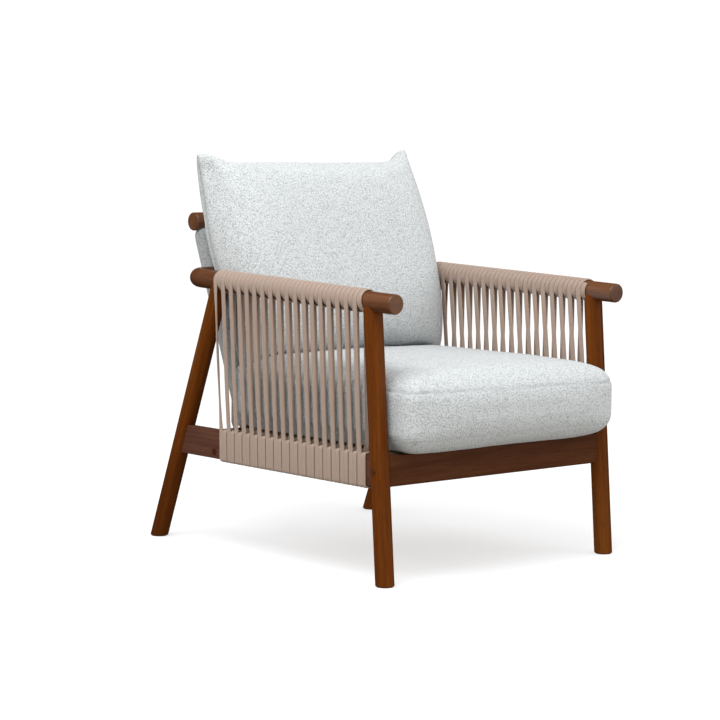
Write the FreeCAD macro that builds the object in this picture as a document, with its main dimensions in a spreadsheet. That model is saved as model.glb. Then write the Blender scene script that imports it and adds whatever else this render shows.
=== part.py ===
import FreeCAD, Part
import math
import os
import Sketcher

# Lounge armchair: a round-section walnut frame with a horseshoe arm rail, cord-wound sides, an upholstered
# back panel, and two loose cushions.
# Axes: X across the chair, -Y to the front, +Z up. Origin: on the floor, at the middle of the overall box.
# Left and right in the names are as seen from the front, so left is -X.

os.makedirs("parts", exist_ok=True)
doc = FreeCAD.newDocument("armchair")
X_AXIS = FreeCAD.Vector(1, 0, 0)
Y_AXIS = FreeCAD.Vector(0, 1, 0)
Z_AXIS = FreeCAD.Vector(0, 0, 1)

# ------------------------------------------------------------------ dimensions
SIZES = {
    # legs
    "leg_dia": 40.0, "leg_offset": 322.0, "leg_waste": 20.0, "foot_chamfer": 1.5,
    "front_foot_y": -382.8, "front_rake": 4.5, "front_leg_length": 587.0,
    "rear_foot_y": 417.15, "rear_rake": 21.65, "rear_leg_length": 647.0,
    "glide_dia": 34.0, "glide_thick": 1.5,
    # horseshoe arm rail, lying in a plane that rises to the rear
    "arm_dia": 42.0, "arm_front_y": -410.2, "arm_front_z": 582.9, "arm_tilt": 1.8,
    "arm_straight": 656.0, "arm_bend": 50.0, "arm_ease": 3.0,
    # seat frame
    "rail_height": 65.0, "rail_thick": 20.0, "rail_mid_z": 236.5, "rail_ease": 3.0,
    "side_rail_front_y": -375.0, "side_rail_length": 700.0, "apron_y": -364.2,
    "rear_rail_y": 196.6, "rear_rail_thick": 26.0, "rear_rail_height": 60.0, "rear_rail_length": 624.0,
    "back_lean": 21.24,
    # seat deck
    "slat_width": 60.0, "slat_thick": 15.0, "slat_pitch": 78.0, "slat_count": 7.0, "slat_top_z": 267.5,
    "slat_front_y": -352.0, "slat_length": 532.0,
    "cleat_depth": 20.0, "cleat_height": 25.0, "cleat_length": 520.0, "cleat_waste": 12.0,
    "block_leg": 34.0, "block_height": 34.0, "block_bottom_z": 212.0, "block_corner": 11.9,
    # back
    "top_rail_dia": 42.0, "top_rail_length": 498.0, "back_slope_length": 524.1,
    "stile_x": 190.0, "stile_width": 45.0, "stile_thick": 22.0,
    "panel_width": 484.0, "panel_thick": 48.0, "panel_back": 4.0, "panel_edge": 12.0, "panel_top": 509.0,
    "panel_bottom": 31.0,
    # cushions
    "seat_width": 598.0, "seat_front_y": -437.5, "seat_depth": 623.0, "seat_bottom_z": 269.5,
    "seat_thick": 162.0, "seat_edge": 34.0,
    "pillow_width": 590.0, "pillow_height": 431.9, "pillow_thick": 160.0, "pillow_edge": 45.0,
    "pillow_lean": 19.3, "pillow_y": 130.9, "pillow_z": 448.3,
    # cord
    "cord_width": 12.8, "cord_thick": 4.0, "cord_gap": 0.5, "cord_pitch": 28.15, "cord_first_y": 167.0,
    "cord_count": 18.0,
    # fasteners
    "bolt_dia": 6.0, "bolt_head_dia": 11.0, "bolt_head_thick": 5.0, "bolt_length": 62.0,
    "front_bolt_seat": 8.0, "rear_bolt_seat": -1.0, "back_bolt_length": 56.0,
    "cap_dia": 13.0, "cap_seat": 3.5, "cap_proud": 1.5, "cap_lip": 0.4, "cap_lift": 0.2,
    "nut_dia": 10.0, "nut_length": 15.0, "nut_inset": 8.0, "bore_gap": 0.25, "overrun": 5.0,
    "front_bolt_y": -364.0, "front_bolt_z": 239.0, "rear_bolt_y": 190.2, "rear_bolt_z": 220.0,
    "dowel_dia": 10.0, "dowel_length": 48.0, "leg_dowel_start": 51.0, "splice_dowel_length": 28.0,
    "rail_dowel_dia": 8.0, "rail_dowel_length": 36.0, "rail_dowel_rise": 18.0,
    "rail_dowel_front_y": -362.0, "rail_dowel_rear_y": 284.0, "top_dowel_drop": 43.0,
    "screw_dia": 4.0, "screw_head_dia": 8.0, "screw_head_thick": 3.0,
    "slat_screw_length": 30.0, "cleat_screw_length": 34.0, "cleat_screw_drop": 15.5,
    "block_screw_length": 38.0, "block_screw_inset": 12.0, "block_screw_back": 10.4,
    "block_low_screw": 11.0, "block_high_screw": 23.0,
}

sheet = doc.addObject("Spreadsheet::Sheet", "Dimensions")
for row, (alias, value) in enumerate(SIZES.items(), start=1):
    sheet.set(f"A{row}", alias)
    sheet.set(f"B{row}", str(value))
    sheet.setAlias(f"B{row}", alias)
doc.recompute()


def size(alias):
    """The value of one cell of the sheet."""
    return float(getattr(sheet, alias))


def bind(obj, **formulas):
    """Bind properties of an object to formulas over the sheet's cells."""
    for prop, formula in formulas.items():
        obj.setExpression(prop.replace("__", "."), formula)


def cells(formula):
    """Write each alias in a formula as a reference to the sheet."""
    out = ""
    word = ""
    for letter in formula + " ":
        if letter.isalnum() or letter == "_":
            word += letter
            continue
        out += "Dimensions." + word if word in SIZES else word
        word = ""
        out += letter
    return out.strip()


def place(obj, x="0", y="0", z="0", axis=None, angle="0"):
    """Place an object: its base and its turn are formulas over the sheet's cells."""
    if axis is not None:
        obj.Placement = FreeCAD.Placement(FreeCAD.Vector(0, 0, 0), FreeCAD.Rotation(axis, 1.0))
        bind(obj, Placement__Rotation__Angle=cells(angle))
    bind(obj, Placement__Base__x=cells(x), Placement__Base__y=cells(y), Placement__Base__z=cells(z))
    return obj


def cylinder(name, radius, height, **where):
    obj = doc.addObject("Part::Cylinder", name)
    bind(obj, Radius=cells(radius), Height=cells(height))
    return place(obj, **where)


def box(name, length, width, height, **where):
    """A box with one corner at its base."""
    obj = doc.addObject("Part::Box", name)
    bind(obj, Length=cells(length), Width=cells(width), Height=cells(height))
    return place(obj, **where)


def group(name, members):
    """Several separate solids that are one sub-part."""
    obj = doc.addObject("Part::Compound", name)
    obj.Links = members
    return obj


def cut(name, base, tools):
    """The base less every tool."""
    tool = tools[0]
    if len(tools) > 1:
        tool = group(name + "_tools", tools)
    obj = doc.addObject("Part::Cut", name)
    obj.Base = base
    obj.Tool = tool
    return obj


def fuse(name, members):
    obj = doc.addObject("Part::MultiFuse", name)
    obj.Shapes = members
    return obj


def eased(name, base, radius, pick):
    """Round the edges of the base that pick() chooses."""
    doc.recompute()
    obj = doc.addObject("Part::Fillet", name)
    obj.Base = base
    chosen = [i + 1 for i, edge in enumerate(base.Shape.Edges) if pick(edge)]
    obj.Edges = [(i, size(radius), size(radius)) for i in chosen]
    return obj


def chamfered(name, base, length, pick):
    """Chamfer the edges of the base that pick() chooses."""
    doc.recompute()
    obj = doc.addObject("Part::Chamfer", name)
    obj.Base = base
    chosen = [i + 1 for i, edge in enumerate(base.Shape.Edges) if pick(edge)]
    obj.Edges = [(i, size(length), size(length)) for i in chosen]
    return obj


def role_plane(body, role):
    for feature in body.Origin.OriginFeatures:
        if feature.Role == role:
            return feature
    raise RuntimeError("no plane " + role)


def board_body(name, width, height, length, ease):
    """A board as a body: a centred rectangle on the XZ plane, width by height, padded both ways along Y
    by length, with its long edges eased."""
    body = doc.addObject("PartDesign::Body", name)
    sketch = body.newObject("Sketcher::SketchObject", name + "_outline")
    sketch.AttachmentSupport = [(role_plane(body, "XZ_Plane"), "")]
    sketch.MapMode = "FlatFace"
    corner = [FreeCAD.Vector(-5, -5, 0), FreeCAD.Vector(5, -5, 0), FreeCAD.Vector(5, 5, 0),
              FreeCAD.Vector(-5, 5, 0)]
    for i in range(4):
        sketch.addGeometry(Part.LineSegment(corner[i], corner[(i + 1) % 4]), False)
    for i in range(4):
        sketch.addConstraint(Sketcher.Constraint("Coincident", i, 2, (i + 1) % 4, 1))
    for i in (0, 2):
        sketch.addConstraint(Sketcher.Constraint("Horizontal", i))
    for i in (1, 3):
        sketch.addConstraint(Sketcher.Constraint("Vertical", i))
    sketch.addConstraint(Sketcher.Constraint("Symmetric", 0, 1, 2, 1, -1, 1))
    across = sketch.addConstraint(Sketcher.Constraint("DistanceX", 0, 1, 0, 2, 10.0))
    upward = sketch.addConstraint(Sketcher.Constraint("DistanceY", 1, 1, 1, 2, 10.0))
    sketch.setExpression(f"Constraints[{across}]", cells(width))
    sketch.setExpression(f"Constraints[{upward}]", cells(height))
    pad = body.newObject("PartDesign::Pad", name + "_pad")
    pad.Profile = sketch
    pad.Midplane = True
    bind(pad, Length=cells(length))
    doc.recompute()
    if ease is not None:
        long_edges = [f"Edge{i + 1}" for i, edge in enumerate(pad.Shape.Edges)
                      if abs(edge.Vertexes[0].Y - edge.Vertexes[-1].Y) > 1.0]
        fillet = body.newObject("PartDesign::Fillet", name + "_ease")
        fillet.Base = (pad, long_edges)
        bind(fillet, Radius=cells(ease))
        body.Tip = fillet
    doc.recompute()
    return body


FINAL = []


def finish(obj, label):
    """Name an object as one of the chair's pieces."""
    obj.Label = label
    FINAL.append(obj)
    return obj


# ------------------------------------------------------------------ arm rail: blanks
ALONG = "arm_straight * cos(arm_tilt)"
RISE = "arm_straight * sin(arm_tilt)"
SIDES = (("left", -1), ("right", 1))
arm_blank = {}
for side, sign in SIDES:
    rod = cylinder(f"arm_{side}_rod", "arm_dia / 2", "arm_straight", x=f"{sign} * leg_offset", y="arm_front_y",
                   z="arm_front_z", axis=X_AXIS, angle="arm_tilt - 90")
    arm_blank[side] = eased(f"arm_{side}_blank", rod, "arm_ease",
                            lambda e: len(e.Vertexes) == 1 and e.CenterOfMass.y < size("arm_front_y") + 5)

corner_blank = {}
for side, sign in SIDES:
    bend = doc.addObject("Part::Torus", f"arm_corner_{side}_blank")
    bind(bend, Radius1=cells("arm_bend"), Radius2=cells("arm_dia / 2"))
    bend.Angle3 = 90.0
    turn = FreeCAD.Rotation(X_AXIS, size("arm_tilt"))
    start = 90.0 if sign < 0 else 0.0
    bend.Placement = FreeCAD.Placement(FreeCAD.Vector(0, 0, 0),
                                       turn.multiply(FreeCAD.Rotation(Z_AXIS, start)))
    bind(bend, Placement__Base__x=cells(f"{sign} * (leg_offset - arm_bend)"),
         Placement__Base__y=cells(f"arm_front_y + {ALONG}"), Placement__Base__z=cells(f"arm_front_z + {RISE}"))
    corner_blank[side] = bend

BACK_Y = "arm_front_y + (arm_straight + arm_bend) * cos(arm_tilt)"
BACK_Z = "arm_front_z + (arm_straight + arm_bend) * sin(arm_tilt)"
back_rail_blank = cylinder("arm_back_rail_blank", "arm_dia / 2", "2 * (leg_offset - arm_bend)",
                           x="-(leg_offset - arm_bend)", y=BACK_Y, z=BACK_Z, axis=Y_AXIS, angle="90")

# ------------------------------------------------------------------ legs: blanks
# each leg's end of the chair, the place of its foot and its turn about X
LEGS = (("front", "front_foot_y", "-front_rake"), ("rear", "rear_foot_y", "rear_rake"))
leg_blank = {}
for side, sign in SIDES:
    for end, foot, rake in LEGS:
        stock = cylinder(f"{end}_leg_{side}_blank", "leg_dia / 2", f"{end}_leg_length + leg_waste",
                         x=f"{sign} * leg_offset", y=f"{foot} + leg_waste * sin({rake})",
                         z=f"-leg_waste * cos({rake})", axis=X_AXIS, angle=rake)
        leg_blank[end, side] = stock

# what is sawn off below each foot
floor_cut = {}
for side, sign in SIDES:
    for end, foot, rake in LEGS:
        floor_cut[end, side] = box(f"{end}_leg_{side}_floor", "2 * leg_dia", "2 * leg_dia", "2 * leg_dia",
                                   x=f"{sign} * leg_offset - leg_dia", y=f"{foot} - leg_dia",
                                   z="glide_thick - 2 * leg_dia")

# ------------------------------------------------------------------ dowels, which also cut their own bores
# Leg dowels: along each leg's axis, from the leg into the arm.
leg_dowels = {}
for side, sign in SIDES:
    for end, foot, rake in LEGS:
        low = f"({end}_leg_length - leg_dowel_start)"
        leg_dowels[end, side] = cylinder(f"{end}_leg_{side}_dowel", "dowel_dia / 2", "dowel_length",
                                         x=f"{sign} * leg_offset", y=f"{foot} - {low} * sin({rake})",
                                         z=f"{low} * cos({rake})", axis=X_AXIS, angle=rake)

# Arm splice dowels: between each straight arm and its bend, and each bend and the back rail.
splice_dowels = {}
for side, sign in SIDES:
    start = "(arm_straight - splice_dowel_length / 2)"
    splice_dowels["arm", side] = cylinder(f"arm_splice_{side}_dowel", "dowel_dia / 2", "splice_dowel_length",
                                          x=f"{sign} * leg_offset", y=f"arm_front_y + {start} * cos(arm_tilt)",
                                          z=f"arm_front_z + {start} * sin(arm_tilt)", axis=X_AXIS,
                                          angle="arm_tilt - 90")
    splice_dowels["back", side] = cylinder(f"back_splice_{side}_dowel", "dowel_dia / 2", "splice_dowel_length",
                                           x=f"{sign} * (leg_offset - arm_bend) - splice_dowel_length / 2",
                                           y=BACK_Y, z=BACK_Z, axis=Y_AXIS, angle="90")

# Seat frame dowels: two at each end of each side rail, along Y into the legs.
rail_dowels = {}
for side, sign in SIDES:
    for end, foot, rake in LEGS:
        rail_dowels[end, side] = []
        for level, rise in (("low", "-rail_dowel_rise"), ("high", "rail_dowel_rise")):
            rod = cylinder(f"side_rail_{side}_{end}_{level}_dowel", "rail_dowel_dia / 2", "rail_dowel_length",
                           x=f"{sign} * leg_offset", y=f"rail_dowel_{end}_y - ({rise}) * tan({rake})",
                           z=f"rail_mid_z + ({rise})", axis=X_AXIS, angle="-90")
            rail_dowels[end, side].append(rod)


# ------------------------------------------------------------------ frame bolts
def bolt_set(name, sign, x_face, x_seat, y, z):
    """A bolt along X with its cap and barrel nut, and the tools that cut its well and its bore.
    x_face is the outer face that the cap sits on, x_seat the distance of the head's seat from the middle."""

    def along(part, radius, length, start):
        """A cylinder on the bolt's axis that runs inward from the distance start."""
        return cylinder(f"{name}_{part}", radius, length, axis=Y_AXIS, angle="90" if sign < 0 else "-90",
                        x=f"{sign} * ({start})", y=y, z=z)

    head = along("head", "bolt_head_dia / 2", "bolt_head_thick", f"{x_seat} + bolt_head_thick")
    shank = along("shank", "bolt_dia / 2", "bolt_length + 1", f"{x_seat} + 1")
    plug = along("plug", "cap_dia / 2", "cap_seat + cap_lift", f"{x_face} + cap_lift")
    rim = along("rim", "cap_dia / 2 + cap_lip", "cap_proud - cap_lift", f"{x_face} + cap_proud")
    well = along("well", "cap_dia / 2", f"{x_face} - {x_seat} + overrun", f"{x_face} + overrun")
    bore = along("bore", "bolt_dia / 2 + bore_gap", "bolt_length + 2 * overrun", f"{x_seat} + overrun")
    thread = along("thread", "bolt_dia / 2", "bolt_length + 2 * overrun", f"{x_seat} + overrun")
    nut_rod = cylinder(name + "_nut_rod", "nut_dia / 2", "nut_length", axis=X_AXIS, angle="90",
                       x=f"{sign} * ({x_seat} - bolt_length + nut_inset)", y=f"({y}) + nut_length / 2", z=z)
    return {"bolt": fuse(name, [head, shank]), "cap": fuse(name + "_cap", [plug, rim]), "well": well,
            "bore": bore, "nut": cut(name + "_nut", nut_rod, [thread]), "nut_bore": nut_rod}


bolts = {}
for side, sign in SIDES:
    bolts["front", side] = bolt_set(f"front_bolt_{side}", sign, "(leg_offset + leg_dia / 2)",
                                    "(leg_offset + front_bolt_seat)", "front_bolt_y", "front_bolt_z")
    bolts["rear", side] = bolt_set(f"rear_bolt_{side}", sign, "(leg_offset + rail_thick / 2)",
                                   "(leg_offset + rear_bolt_seat)", "rear_bolt_y", "rear_bolt_z")

# ------------------------------------------------------------------ arm rail pieces
for side, sign in SIDES:
    tools = [leg_dowels["front", side], leg_dowels["rear", side], splice_dowels["arm", side]]
    finish(cut(f"arm_{side}_piece", arm_blank[side], tools), f"arm_{side}")
    tools = [splice_dowels["arm", side], splice_dowels["back", side]]
    finish(cut(f"arm_corner_{side}_piece", corner_blank[side], tools), f"arm_corner_{side}")

# ------------------------------------------------------------------ legs
for side, sign in SIDES:
    for end in ("front", "rear"):
        tools = [arm_blank[side], floor_cut[end, side], leg_dowels[end, side]] + rail_dowels[end, side]
        if end == "front":
            tools += [bolts["front", side]["well"], bolts["front", side]["bore"]]
        rough = cut(f"{end}_leg_{side}_rough", leg_blank[end, side], tools)
        piece = chamfered(f"{end}_leg_{side}_piece", rough, "foot_chamfer",
                          lambda e: e.BoundBox.ZMax < size("glide_thick") + 0.01)
        finish(piece, f"{end}_leg_{side}")

glides = []
for side, sign in SIDES:
    for end, foot, rake in LEGS:
        glides.append(cylinder(f"{end}_{side}_glide", "glide_dia / 2", "glide_thick",
                               x=f"{sign} * leg_offset", y=f"{foot} - glide_thick * tan({rake})"))
finish(group("leg_glides_group", glides), "leg_glides")

# ------------------------------------------------------------------ screws
FRONT_CLEAT_Y = "apron_y + rail_thick / 2"
REAR_CLEAT_Y = "rear_rail_y - rear_rail_thick / 2 - cleat_depth - cleat_waste / 2"
CLEAT_Z = "slat_top_z - slat_thick - cleat_height"
SLAT_STEPS = [i - (size("slat_count") - 1) / 2 for i in range(int(size("slat_count")))]


def screw(name, length, **where):
    """A countersunk screw that points along its own +Z, head first."""
    shank = cylinder(name + "_shank", "screw_dia / 2", length, **where)
    head = cylinder(name + "_head", "screw_head_dia / 2", "screw_head_thick", **where)
    return fuse(name, [shank, head])


slat_screws = []
for i, step in enumerate(SLAT_STEPS, start=1):
    for end, y in (("front", FRONT_CLEAT_Y), ("rear", REAR_CLEAT_Y)):
        slat_screws.append(screw(f"slat_{i}_{end}_screw", "slat_screw_length", x=f"{step} * slat_pitch",
                                 y=y + " + cleat_depth / 2", z="slat_top_z", axis=X_AXIS, angle="180"))

# the cleats' screws stand between the slats, clear of the slats' own screws
cleat_screws = []
for end, y, turn in (("front", FRONT_CLEAT_Y + " + cleat_depth", "90"), ("rear", REAR_CLEAT_Y, "-90")):
    for i, step in enumerate((-2.5, -0.5, 0.5, 2.5), start=1):
        cleat_screws.append(screw(f"{end}_cleat_screw_{i}", "cleat_screw_length", x=f"{step} * slat_pitch", y=y,
                                  z="slat_top_z - slat_thick - cleat_screw_drop", axis=X_AXIS, angle=turn))
slat_screw_tools = group("slat_screw_tools", slat_screws)
cleat_screw_tools = group("cleat_screw_tools", cleat_screws)

# Corner blocks behind the front legs: a square post, cut across its inner corner, with one screw
# into the apron and one into the side rail.
BLOCK_X = "(leg_offset - rail_thick / 2)"
block_screws = []
for side, sign in SIDES:
    block_screws.append(screw(f"block_{side}_apron_screw", "block_screw_length",
                              x=f"{sign} * ({BLOCK_X} - block_leg + block_screw_inset)",
                              y=FRONT_CLEAT_Y + " + block_corner + block_screw_back",
                              z="block_bottom_z + block_low_screw", axis=X_AXIS, angle="90"))
    block_screws.append(screw(f"block_{side}_rail_screw", "block_screw_length",
                              x=f"{sign} * ({BLOCK_X} - block_corner - block_screw_back)",
                              y=FRONT_CLEAT_Y + " + block_leg - block_screw_inset",
                              z="block_bottom_z + block_high_screw", axis=Y_AXIS,
                              angle="-90" if sign < 0 else "90"))
block_screw_tools = group("block_screw_tools", block_screws)

# ------------------------------------------------------------------ seat frame
side_rails = {}
for side, sign in SIDES:
    blank = board_body(f"side_rail_{side}_board", "rail_thick", "rail_height", "side_rail_length", "rail_ease")
    place(blank, x=f"{sign} * leg_offset", y="side_rail_front_y + side_rail_length / 2", z="rail_mid_z")
    tools = [leg_blank["front", side], leg_blank["rear", side], bolts["rear", side]["well"],
             bolts["rear", side]["bore"]]
    tools += rail_dowels["front", side] + rail_dowels["rear", side] + [block_screw_tools]
    side_rails[side] = cut(f"side_rail_{side}_cut", blank, tools)

apron_blank = board_body("front_apron_board", "rail_thick", "rail_height", "2 * leg_offset", "rail_ease")
place(apron_blank, y="apron_y", z="rail_mid_z", axis=Z_AXIS, angle="90")
apron_tools = [leg_blank["front", "left"], leg_blank["front", "right"]]
for side, sign in SIDES:
    apron_tools += [bolts["front", side]["bore"], bolts["front", side]["nut_bore"]]
apron_tools += [cleat_screw_tools, block_screw_tools]
finish(cut("front_apron_piece", apron_blank, apron_tools), "front_apron")

rear_blank = board_body("rear_seat_rail_board", "rear_rail_length", "rear_rail_height", "rear_rail_thick", None)
place(rear_blank, y="rear_rail_y", z="rail_mid_z", axis=X_AXIS, angle="-back_lean")
eased_rear = eased("rear_seat_rail_eased", rear_blank, "rail_ease",
                   lambda e: e.BoundBox.XLength > size("rear_rail_length") / 2)

# ------------------------------------------------------------------ back frame
TOP_Y = "rear_rail_y + back_slope_length * sin(back_lean)"
TOP_Z = "rail_mid_z + back_slope_length * cos(back_lean)"
top_rod = cylinder("back_top_rail_rod", "top_rail_dia / 2", "top_rail_length", axis=Y_AXIS, angle="90",
                   x="-top_rail_length / 2", y=TOP_Y, z=TOP_Z)
top_blank = eased("back_top_rail_blank", top_rod, "arm_ease", lambda e: len(e.Vertexes) == 1)


def on_slope(distance, offset="0"):
    """The y and z of a point on the back's own plane: distance up the slope, offset to the rear of it."""
    y = f"rear_rail_y + ({distance}) * sin(back_lean) + ({offset}) * cos(back_lean)"
    z = f"rail_mid_z + ({distance}) * cos(back_lean) - ({offset}) * sin(back_lean)"
    return {"y": y, "z": z}


stile_blank = {}
stile_dowels = {}
back_bolts = {}
for side, sign in SIDES:
    blank = board_body(f"back_stile_{side}_board", "stile_width", "back_slope_length - rear_rail_height / 2",
                       "stile_thick", None)
    stile_blank[side] = place(blank, x=f"{sign} * stile_x", axis=X_AXIS, angle="-back_lean",
                              **on_slope("(back_slope_length + rear_rail_height / 2) / 2"))
    stile_dowels[side] = []
    for level, low in (("low", "rear_rail_height / 2 - rail_dowel_length / 2"),
                       ("high", "back_slope_length - top_dowel_drop")):
        rod = cylinder(f"back_stile_{side}_{level}_dowel", "rail_dowel_dia / 2", "rail_dowel_length",
                       x=f"{sign} * stile_x", axis=X_AXIS, angle="-back_lean", **on_slope(low))
        stile_dowels[side].append(rod)
    # a bolt square to the back, from inside the stile to the middle of the arm's back rail
    reach = f"(({BACK_Y}) - rear_rail_y) * sin(back_lean) + (({BACK_Z}) - rail_mid_z) * cos(back_lean)"
    where = dict(x=f"{sign} * stile_x", axis=X_AXIS, angle="90 - back_lean",
                 **on_slope(reach, "stile_thick / 2 + bolt_head_thick"))
    shank = cylinder(f"back_bolt_{side}_shank", "bolt_dia / 2", "back_bolt_length", **where)
    head = cylinder(f"back_bolt_{side}_head", "bolt_head_dia / 2", "bolt_head_thick", **where)
    back_bolts[side] = fuse(f"back_bolt_{side}", [shank, head])

for side, sign in SIDES:
    tools = [top_blank, back_bolts[side]] + stile_dowels[side]
    finish(cut(f"back_stile_{side}_piece", stile_blank[side], tools), f"back_stile_{side}")

all_stile_dowels = stile_dowels["left"] + stile_dowels["right"]
finish(cut("back_top_rail_piece", top_blank, all_stile_dowels), "back_top_rail")

rear_tools = all_stile_dowels + [cleat_screw_tools]
for side, sign in SIDES:
    rear_tools += [bolts["rear", side]["bore"], bolts["rear", side]["nut_bore"]]
finish(cut("rear_seat_rail_piece", eased_rear, rear_tools), "rear_seat_rail")

for side, sign in SIDES:
    finish(side_rails[side], f"side_rail_{side}")

back_rail_tools = [splice_dowels["back", "left"], splice_dowels["back", "right"], *back_bolts.values()]
finish(cut("arm_back_rail_piece", back_rail_blank, back_rail_tools), "arm_back_rail")

panel_blank = board_body("back_panel_board", "panel_width", "panel_top - panel_bottom", "panel_thick", None)
place(panel_blank, axis=X_AXIS, angle="-back_lean", **on_slope("(panel_top + panel_bottom) / 2", "panel_back"))
panel_eased = eased("back_panel_eased", panel_blank, "panel_edge",
                    lambda e: e.BoundBox.XLength < 1 and e.Length > size("panel_width") / 2)
panel_tools = [top_blank, *stile_blank.values(), *back_bolts.values()]
finish(cut("back_panel_piece", panel_eased, panel_tools), "back_panel")

# ------------------------------------------------------------------ seat deck
slats = []
for i, step in enumerate(SLAT_STEPS, start=1):
    blank = board_body(f"seat_slat_{i}", "slat_width", "slat_thick", "slat_length", "rail_ease")
    slats.append(place(blank, x=f"{step} * slat_pitch", y="slat_front_y + slat_length / 2",
                       z="slat_top_z - slat_thick / 2"))

front_cleat_blank = box("front_cleat_blank", "cleat_length", "cleat_depth", "cleat_height",
                        x="-cleat_length / 2", y=FRONT_CLEAT_Y, z=CLEAT_Z)
rear_cleat_stock = box("rear_cleat_stock", "cleat_length", "cleat_depth + cleat_waste", "cleat_height",
                       x="-cleat_length / 2", y=REAR_CLEAT_Y, z=CLEAT_Z)
rear_cleat_blank = cut("rear_cleat_blank", rear_cleat_stock, [rear_blank])
slat_group = group("seat_slat_boards", slats)
finish(cut("seat_slats_piece", slat_group, [slat_screw_tools]), "seat_slats")
finish(cut("slat_cleat_front_piece", front_cleat_blank, [slat_screw_tools, cleat_screw_tools]),
       "slat_cleat_front")
finish(cut("slat_cleat_rear_piece", rear_cleat_blank, [slat_screw_tools, cleat_screw_tools]),
       "slat_cleat_rear")
finish(group("slat_screws_group", slat_screws), "slat_screws")
finish(group("cleat_screws_group", cleat_screws), "cleat_screws")

corner_blocks = []
for side, sign in SIDES:
    low_x = f"-{BLOCK_X}" if sign < 0 else f"{BLOCK_X} - block_leg"
    post = box(f"block_{side}_post", "block_leg", "block_leg", "block_height", x=low_x, y=FRONT_CLEAT_Y,
               z="block_bottom_z")
    # the bevel's tool is turned 45 degrees, and its near face passes through both corners to be joined
    width = "2 * block_leg" if sign < 0 else "3 * block_leg"
    depth = "3 * block_leg" if sign < 0 else "2 * block_leg"
    bevel = box(f"block_{side}_bevel", width, depth, "block_height + 2 * overrun",
                x=f"{sign} * ({BLOCK_X} - block_leg - leg_waste)",
                y=FRONT_CLEAT_Y + " + block_corner - leg_waste", z="block_bottom_z - overrun",
                axis=Z_AXIS, angle="45")
    bevelled = cut(f"block_{side}_bevelled", post, [bevel])
    notched = cut(f"block_{side}_notched", bevelled, [leg_blank["front", side]])
    corner_blocks.append(cut(f"block_{side}", notched, [block_screw_tools]))
finish(group("corner_blocks_group", corner_blocks), "corner_blocks")
finish(group("block_screws_group", block_screws), "corner_block_screws")

# ------------------------------------------------------------------ fastener groups
finish(group("leg_dowels_group", list(leg_dowels.values())), "leg_dowels")
finish(group("arm_splice_dowels_group", list(splice_dowels.values())), "arm_splice_dowels")
finish(group("rail_dowels_group", sum(rail_dowels.values(), [])), "rail_dowels")
finish(group("stile_dowels_group", all_stile_dowels), "stile_dowels")
finish(group("frame_bolts_group", [parts["bolt"] for parts in bolts.values()]), "frame_bolts")
finish(group("barrel_nuts_group", [parts["nut"] for parts in bolts.values()]), "barrel_nuts")
finish(group("bolt_caps_group", [parts["cap"] for parts in bolts.values()]), "bolt_caps")
finish(group("back_bolts_group", list(back_bolts.values())), "back_bolts")



# ------------------------------------------------------------------ cushions
seat_cushion = board_body("seat_cushion_block", "seat_width", "seat_thick", "seat_depth", None)
place(seat_cushion, y="seat_front_y + seat_depth / 2", z="seat_bottom_z + seat_thick / 2")
finish(eased("seat_cushion_piece", seat_cushion, "seat_edge", lambda e: True), "seat_cushion")

back_cushion = board_body("back_cushion_block", "pillow_width", "pillow_thick", "pillow_height", None)
place(back_cushion, y="pillow_y + pillow_height / 2 * sin(pillow_lean)",
      z="pillow_z + pillow_height / 2 * cos(pillow_lean)", axis=X_AXIS, angle="90 - pillow_lean")
finish(eased("back_cushion_piece", back_cushion, "pillow_edge", lambda e: True), "back_cushion")


# ------------------------------------------------------------------ cord
def rail_outline(gap):
    """A closed wire round the side rail's section in the XZ plane, a gap outside its faces."""
    half_wide = size("rail_thick") / 2 + gap
    half_high = size("rail_height") / 2 + gap
    board = Part.makeBox(2 * half_wide, 1, 2 * half_high, FreeCAD.Vector(-half_wide, 0, -half_high))
    long_edges = [edge for edge in board.Edges if edge.BoundBox.YLength > 0.5]
    rounded = board.makeFillet(size("rail_ease") + gap, long_edges)
    front = min(rounded.Faces, key=lambda face: face.CenterOfMass.y)
    front.translate(Z_AXIS * size("rail_mid_z"))
    return front.OuterWire


def loop_outline(gap, arm_z):
    """A closed wire over the arm rail and under the side rail: straight strands between the two."""
    radius = size("arm_dia") / 2 + gap
    half_wide = size("rail_thick") / 2 + gap
    corner = size("rail_ease") + gap
    bottom = size("rail_mid_z") - size("rail_height") / 2 - gap
    bite = corner * (1 - math.cos(math.pi / 4))

    def here(x, z):
        return FreeCAD.Vector(x, 0, z)

    right = [here(radius, arm_z), here(half_wide, SHOULDER_Z), here(half_wide, bottom + corner),
             here(half_wide - bite, bottom + bite), here(half_wide - corner, bottom)]
    left = [here(-point.x, point.z) for point in right]
    edges = [
        Part.Arc(left[0], here(0, arm_z + radius), right[0]).toShape(),
        Part.LineSegment(right[0], right[1]).toShape(),
        Part.LineSegment(right[1], right[2]).toShape(),
        Part.Arc(right[2], right[3], right[4]).toShape(),
        Part.LineSegment(right[4], left[4]).toShape(),
        Part.Arc(left[4], left[3], left[2]).toShape(),
        Part.LineSegment(left[2], left[1]).toShape(),
        Part.LineSegment(left[1], left[0]).toShape(),
    ]
    return Part.Wire(edges)


def band(outer, inner, y):
    """The flat cord between two closed wires in the XZ plane, one cord width along Y, centred on y."""
    face = Part.Face(outer).cut(Part.Face(inner))
    solid = face.extrude(Y_AXIS * size("cord_width")).Solids[0]
    solid.translate(Y_AXIS * (y - size("cord_width") / 2))
    return solid


def arm_height(y):
    return size("arm_front_z") + (y - size("arm_front_y")) * math.tan(math.radians(size("arm_tilt")))


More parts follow.
